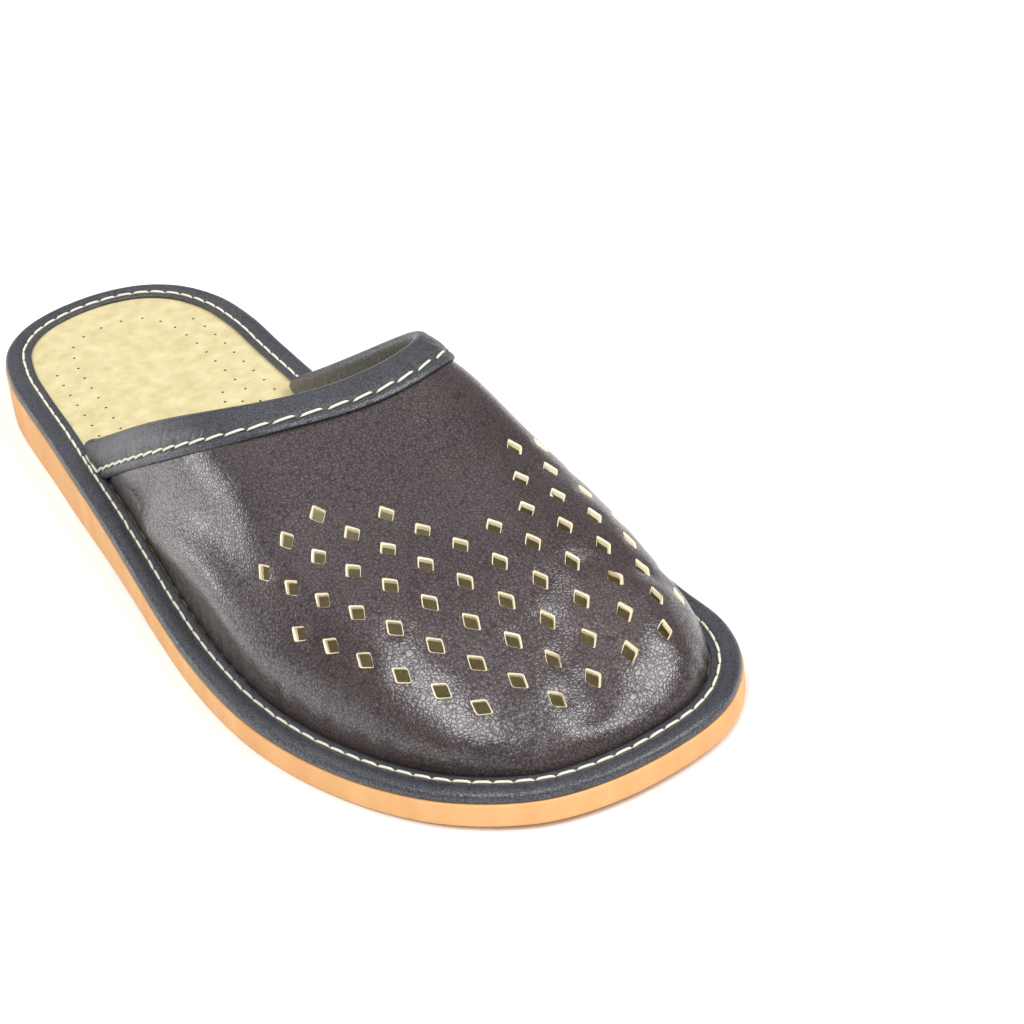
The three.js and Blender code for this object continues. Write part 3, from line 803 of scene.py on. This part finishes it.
def makeVamp():
    # outer skin on a grid of angles and rows from the collar to the toe, inner skin one
    # leather's thickness below it, rims between them, and the holes cut through both
    angle = archAngles(vamp["across"])
    start = collarX(angle)
    even = np.linspace(0, 1, vamp["along"], endpoint=False)
    share = even + vamp["toeCrowding"] * (np.sin(np.pi / 2 * even) - even)
    x = start[None, :] + (footTip[0] - start)[None, :] * share[:, None]
    turn = angle[None, :] + 0 * x
    outer = upperShape(turn, x)
    normals = upperNormal(turn, x)
    places = holePlaces()
    centres = upperShape(places[:, 0], places[:, 1])
    outer = shellDisplace(outer, normals, centres, turn, x)
    inner = outer - normals * shoe["leather"]
    floor = footHeight(inner[..., 0])
    inner[..., 2] = np.maximum(inner[..., 2], floor)
    inner[:, [0, -1], 2] = floor[:, [0, -1]]
    tip = np.array([footTip[0], footTip[1], footHeight(footTip[0])])
    rows, columns = x.shape
    points = np.vstack([outer.reshape(-1, 3), [tip],
                        inner.reshape(-1, 3), [tip - (shoe["leather"], 0, 0)]])
    layer = rows * columns + 1
    faces = gridFaces(rows, columns, flip=True).tolist()
    inside = gridFaces(rows, columns, first=layer).tolist()
    last = (rows - 1) * columns
    c = np.arange(columns - 1)
    faces += np.stack([last + c, 0 * c + layer - 1, last + c + 1], -1).tolist()
    inside += np.stack([layer + last + c, layer + last + c + 1, 0 * c + 2 * layer - 1], -1).tolist()
    j = np.arange(rows)
    for side, flip in ((0, False), (columns - 1, True)):
        line = np.r_[j * columns + side, layer - 1]
        rim = np.stack([line[:-1], line[:-1] + layer, line[1:] + layer, line[1:]], -1)
        faces += (rim[:, ::-1] if flip else rim).tolist()
    rim = np.stack([c, c + 1, c + 1 + layer, c + layer], -1)
    faces += rim.tolist()
    piece = newPiece("vampShell", points, faces + inside, materials=vampMaterials, sharp=0)
    slots = np.full(len(faces) + len(inside), vampMaterials.index(vampLeather))
    slots[len(faces):] = vampMaterials.index(lining)
    facing = len(faces) + vamp["facingRows"] * (columns - 1)
    slots[len(faces):facing] = vampMaterials.index(bindingLeather)
    paint(piece, slots)
    flat = outer.reshape(-1, 3)
    near = [np.argmin(np.linalg.norm(flat - centre, axis=1)) for centre in centres]
    out = upperNormal(places[:, 0], places[:, 1])
    lift = ((flat[near] - centres) * out).sum(-1)
    carve(piece, holeCutter(places, centres + lift[:, None] * out))
    piece.data.set_sharp_from_angle(angle=math.radians(vamp["sharp"]))
    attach(piece, "root")
    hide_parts("upper")


def diamond(a, b):
    # a diamond with clipped corners: three points near each tip
    tips = np.array([(a, 0), (0, b), (-a, 0), (0, -b)])
    before, after = np.roll(tips, 1, 0), np.roll(tips, -1, 0)
    share = vamp["clip"]
    ends = np.stack([tips + (before - tips) * share, tips * (1 - share * vamp["clipRound"]),
                     tips + (after - tips) * share], 1)
    return ends.reshape(-1, 2)


def holeCutter(places, centre):
    # a diamond bar square to the leather for each perforation, flared where it breaks out
    angle, x = places[:, 0], places[:, 1]
    out = upperNormal(angle, x)
    forward = upperShape(angle, x + 1) - centre
    forward = unit(forward - out * (forward * out).sum(-1, keepdims=True))
    side = np.cross(out, forward)
    a, b, flare = vamp["holeLong"] / 2, vamp["holeWide"] / 2, vamp["rimBevel"]
    flareLong = flare * vamp["flareLong"]
    inner, rim = diamond(a, b), diamond(a + flareLong, b + flare)
    wide = diamond(a + 2 * flareLong, b + 2 * flare)
    levels = ((inner, -vamp["cutDepth"]), (inner, -vamp["bevelDepth"]), (rim, 0.0),
              (wide, vamp["cutClear"]))
    count = len(inner)
    points, faces = [], []
    for k in range(len(places)):
        for flat, height in levels:
            points.append(centre[k] + flat[:, :1] * forward[k] + flat[:, 1:] * side[k]
                          + out[k] * height)
        first = len(levels) * count * k
        faces += gridFaces(len(levels), count, wrapColumns=True, first=first).tolist()
        faces.append(list(range(first + count - 1, first - 1, -1)))
        faces.append(list(range(first + (len(levels) - 1) * count, first + len(levels) * count)))
    cutter = newPiece("diamonds", np.vstack(points), faces, materials=vampMaterials, sharp=0)
    paint(cutter, np.full(len(faces), vampMaterials.index(cutEdge)))
    return cutter


makeVamp()
print("vamp made")


# The collar's binding

collarBand = {
    "width": 9.5, "thickness": 1.1, "gap": 0.35, "columns": 460, "rows": 19, "foldSteps": 9,
    "floorGap": 1.0, "step": 0.5, "groove": 0.35, "grooveWidth": 1.1, "grooveShare": 0.4,
    "swell": 0.25, "lipWidth": 1.2, "lipThin": 0.6, "endRun": 4.0, "endThin": 0.7,
    "stitchDown": 7.0, "stitchPitch": 5.8, "stitchSink": 0.1, "stitchSlant": 0.12,
    "probe": 0.01, "nudge": 0.004, "nudges": 60, "sharp": 50, "uvRound": 60.0,
    "gathers": 26, "gatherMiddle": 5.0, "gatherReach": 4.0,
}


def walkDown(angle, x, run, distance):
    # steps over the vamp square to the collar's run, staying clear of the rand
    steps = max(int(round(distance / collarBand["step"])), 1)
    size = distance / steps
    probe, nudge = collarBand["probe"], collarBand["nudge"]
    for _ in range(steps):
        base = upperShape(angle, x)
        over = (upperShape(angle + probe, x) - base) / probe
        ahead = (upperShape(angle, x + probe) - base) / probe
        way = unit(np.cross(run, upperNormal(angle, x)))
        oo, aa, oa = (over * over).sum(-1), (ahead * ahead).sum(-1), (over * ahead).sum(-1)
        ow, aw = (over * way).sum(-1), (ahead * way).sum(-1)
        det = oo * aa - oa * oa
        angle = np.clip(angle + size * (aa * ow - oa * aw) / det, probe, np.pi - probe)
        x = x + size * (oo * aw - oa * ow) / det
        for _ in range(collarBand["nudges"]):
            low = upperShape(angle, x)[..., 2] - footHeight(x) < collarBand["floorGap"]
            if not low.any():
                break
            angle = angle + np.where(low, np.where(angle < np.pi / 2, nudge, -nudge), 0)
    return angle, x


def collarFrame():
    # columns along the collar at an even pitch, with the direction of its run
    angle = np.linspace(collarBand["probe"], np.pi - collarBand["probe"], 3000)
    x = collarX(angle)
    edge = upperShape(angle, x)
    clear = edge[:, 2] - footHeight(x) >= collarBand["floorGap"]
    angle, x, edge = angle[clear], x[clear], edge[clear]
    run = arcTable(edge)
    at = np.linspace(0, run[-1], collarBand["columns"])
    angle = np.interp(at, run, angle)
    x = collarX(angle)
    edge = upperShape(angle, x)
    return angle, x, unit(np.gradient(edge, axis=0)), at


def makeCollarBand():
    # a strip down the outside, a half circle over the edge and a strip down the inside; its
    # thickness thins at the lower lips and, by a root law, at both ends of the collar
    angle, x, run, at = collarFrame()
    downs = np.linspace(0, collarBand["width"], collarBand["rows"])
    places = [(angle, x)]
    for k in range(1, len(downs)):
        places.append(walkDown(*places[-1], run, downs[k] - downs[k - 1]))
    base = np.stack([upperShape(a, b) for a, b in places], 1)
    out = np.stack([upperNormal(a, b) for a, b in places], 1)
    g, t = collarBand["gap"], collarBand["thickness"]
    wall = shoe["leather"]
    middle = -wall / 2
    down = downs[None, :]
    least = collarBand["grooveShare"]
    groove = collarBand["groove"] * (least + (1 - least) * stitchPull(at)[:, None]) * np.exp(
        -((down - collarBand["stitchDown"]) / collarBand["grooveWidth"]) ** 2)
    fromEnd = np.minimum(at, at[-1] - at)[:, None] / collarBand["endRun"]
    ease = np.sqrt(np.clip(fromEnd + 0.1, 0, 1))
    t = t * (1 - collarBand["endThin"] * (1 - ease))
    swell = (collarBand["swell"] * bump01(down / collarBand["stitchDown"])
             + gathers(at, down)) * ease
    intoLip = (down - collarBand["width"]) / collarBand["lipWidth"] + 1
    lip = 1 - collarBand["lipThin"] * np.clip(intoLip, 0, 1) ** 2
    outSkin = base + out * (g + t * lip + swell - groove)[..., None]
    inSkin = base + out * (-wall - g - t * lip - 0.5 * swell)[..., None]
    turn = np.linspace(0, np.pi, collarBand["foldSteps"])[1:-1]
    back = np.cross(out[:, 0], run)
    fold = g + t - middle
    bend = (base[:, :1] + out[:, :1] * (middle + fold * np.cos(turn))[..., None]
            + back[:, None] * (fold * np.sin(turn))[..., None])
    underOut = base[:, ::-1] + out[:, ::-1] * g
    underIn = base + out * (-wall - g)
    loopPoints = np.concatenate([outSkin[:, ::-1], bend, inSkin, underIn[:, ::-1],
                                 underOut[:, ::-1]], 1)
    columns, around = loopPoints.shape[:2]
    along = np.repeat(at[:, None], around, 1)
    across = np.repeat(np.linspace(0, collarBand["uvRound"], around)[None, :], columns, 0)
    uv = np.dstack([along, across]).reshape(-1, 2)
    faces = gridFaces(columns, around, wrapColumns=True).tolist()
    half = around // 2
    k = np.arange(half - 1)
    ladder = np.stack([k, k + 1, around - 2 - k, around - 1 - k], -1)
    faces += ladder.tolist() + (ladder[:, ::-1] + (columns - 1) * around).tolist()
    piece = newPiece("collarBand", loopPoints.reshape(-1, 3), faces, uv, [bindingLeather],
                     sharp=collarBand["sharp"])
    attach(piece, "root")
    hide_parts("collar_binding")
    makeCollarStitches(angle, x, run, at)


def stitchPull(at):
    # 1 where the needle goes in, 0 in the middle of a stitch
    count = round(at[-1] / collarBand["stitchPitch"])
    return 0.5 + 0.5 * np.cos(2 * np.pi * at / at[-1] * count)


def gathers(at, down):
    # short wrinkles across the strip: a sum of seeded waves along it, fading at the fold
    total = np.zeros((len(at), down.shape[1]))
    for _ in range(collarBand["gathers"]):
        wave = rng.uniform(1.6, 5.0)
        shift = rng.uniform(0, 2 * np.pi)
        slant = rng.uniform(-0.5, 0.5)
        centre = rng.uniform(0, at[-1])
        width = rng.uniform(15, 45)
        depth = rng.uniform(0.02, 0.05)
        where = np.exp(-((at[:, None] - centre) / width) ** 2)
        total += depth * where * np.cos(2 * np.pi * (at[:, None] + slant * down) / wave + shift)
    return total * np.exp(-((down - collarBand["gatherMiddle"]) / collarBand["gatherReach"]) ** 4)


def makeCollarStitches(angle, x, run, at):
    # stitches at even steps along a line on the strip, a fixed walk down from the edge
    down = walkDown(angle, x, run, collarBand["stitchDown"])
    g, t = collarBand["gap"], collarBand["thickness"]
    out = upperNormal(*down)
    line = upperShape(*down) + out * (g + t - collarBand["stitchSink"])
    length = arcTable(line)
    count = round(at[-1] / collarBand["stitchPitch"])
    spots = np.interp((np.arange(count) + 0.5) / count * at[-1], at, length)
    centre = np.stack([np.interp(spots, length, line[:, k]) for k in range(3)], -1)
    aside = np.stack([np.interp(spots, length, out[:, k]) for k in range(3)], -1)
    tangent = np.gradient(line, length, axis=0)
    forward = np.stack([np.interp(spots, length, tangent[:, k]) for k in range(3)], -1)
    stitchRow("collarStitches", centre, unit(forward), unit(aside), length[-1] / count,
              slant=collarBand["stitchSlant"])


makeCollarBand()
print("collar binding made")


# Camera, floor and light

camera = {
    "eye": (654.33, -303.38, 462.85), "right": (0.5401, 0.8353, -0.1028),
    "up": (-0.4066, 0.3660, 0.8371), "forward": (-0.7368, 0.4103, -0.5373),
    "sensor": 36.0, "focalPixels": 3201.1, "picturePixels": 1024, "clipEnd": 20.0,
}
stage = {"floorHalf": 4000.0, "floorShade": 0.92, "sky": 0.31}

# Lamps: azimuth from -Y towards +X, elevation and spread in degrees, power
lamps = {
    "key": (38, 56, 40, 2.2),
    "overhead": (-75, 66, 80, 0.65),
    "outerSide": (-56, 5, 18, 0.38),
    "toeSide": (134, 44, 36, 1.9),
}


def makeCamera():
    # the camera's own axes and place as the columns of its matrix
    data = bpy.data.cameras.new("photoCamera")
    data.sensor_width = camera["sensor"]
    data.lens = camera["sensor"] * camera["focalPixels"] / camera["picturePixels"]
    data.clip_end = camera["clipEnd"]
    photoCamera = bpy.data.objects.new("photoCamera", data)
    bpy.context.scene.collection.objects.link(photoCamera)
    turn = np.eye(4)
    turn[:3, 0], turn[:3, 1] = camera["right"], camera["up"]
    turn[:3, 2], turn[:3, 3] = -np.array(camera["forward"]), np.array(camera["eye"]) * metre
    photoCamera.matrix_world = Matrix(turn.tolist())
    bpy.context.scene.camera = photoCamera


def softSun(name, azimuth, elevation, spreadAngle, power):
    # a wide far lamp that shines from the given direction towards the middle
    data = bpy.data.lights.new(name, "SUN")
    data.angle = math.radians(spreadAngle)
    data.energy = power
    lamp = bpy.data.objects.new(name, data)
    turn, lift = math.radians(azimuth), math.radians(elevation)
    way = Vector((math.sin(turn) * math.cos(lift), -math.cos(turn) * math.cos(lift),
                  math.sin(lift)))
    lamp.rotation_mode = "QUATERNION"
    lamp.rotation_quaternion = way.to_track_quat("Z", "Y")
    bpy.context.scene.collection.objects.link(lamp)


def makeFloor():
    # one wide square at the height of the sole's flat spots
    half = stage["floorHalf"]
    floor = newPiece("floor", [(-half, -half, 0), (half, -half, 0), (half, half, 0),
                               (-half, half, 0)], [[0, 1, 2, 3]], sharp=0)
    material, _, shader = startMaterial("paleFloor", 0.8)
    shader.inputs["Base Color"].default_value = (*grey(stage["floorShade"]), 1)
    floor.data.materials.append(material)


def makeWorld(strength):
    # an even white sky
    world = bpy.data.worlds.new("studio")
    world.use_nodes = True
    world.node_tree.nodes["Background"].inputs["Color"].default_value = (1, 1, 1, 1)
    world.node_tree.nodes["Background"].inputs["Strength"].default_value = strength
    bpy.context.scene.world = world


makeCamera()
makeFloor()
makeWorld(stage["sky"])
for lampName, lampRow in lamps.items():
    softSun(lampName, *lampRow)
bpy.context.scene.view_settings.view_transform = "Standard"
print("stage made")
